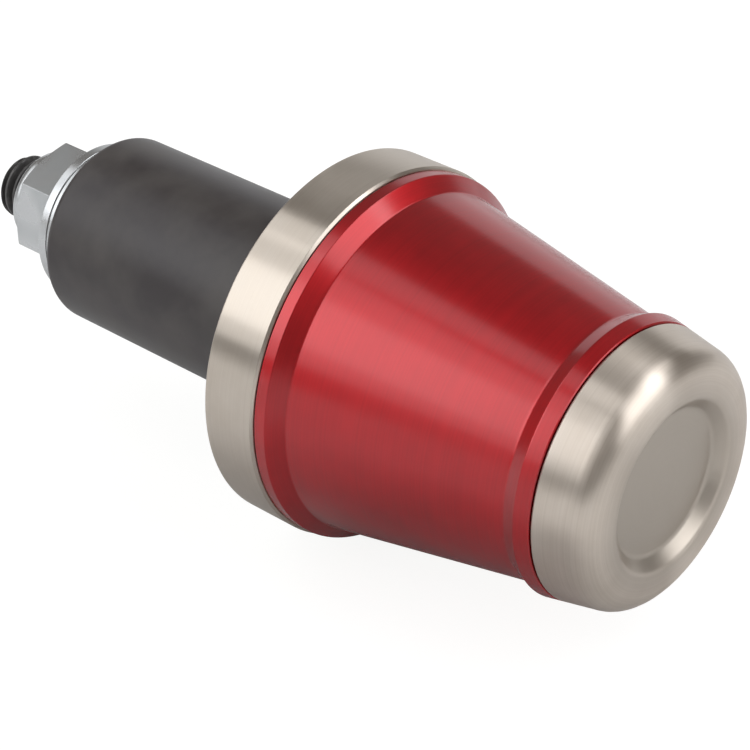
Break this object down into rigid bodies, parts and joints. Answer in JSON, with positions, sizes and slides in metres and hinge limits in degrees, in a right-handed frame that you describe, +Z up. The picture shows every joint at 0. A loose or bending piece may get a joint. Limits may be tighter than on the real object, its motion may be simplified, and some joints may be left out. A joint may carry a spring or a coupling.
{
  "type": "bar end weight",
  "caption": "Tapered handlebar end weight with a dished steel cap, anodised sleeve and flange ring, held in a hollow bar by a rubber bush that a stud and flange nut squeeze until it grips.",
  "frame": {"origin": "on the axis at the flange ring's back face, which stops against the end of the handlebar", "axes": "+X along the axis, out of the bar towards the dished cap; +Z up; the bush, nut and stud lie towards -X"},
  "size_m": [0.0738, 0.032, 0.032],
  "materials": {
    "stainless_steel": "satin, turned",
    "red_anodised_aluminium": "red anodised, satin",
    "black_rubber": "matt, moulded",
    "zinc_plated_steel": "bright zinc plated",
    "black_oxide_steel": "black oxide, oiled"
  },
  "bodies": {
    "root": {"end_weight": "stainless_steel", "taper_sleeve": "red_anodised_aluminium", "flange_ring": "stainless_steel", "expander_bush": "black_rubber", "washer": "zinc_plated_steel", "flange_nut": "zinc_plated_steel", "stud": "black_oxide_steel"}
  },
  "joints": []
}
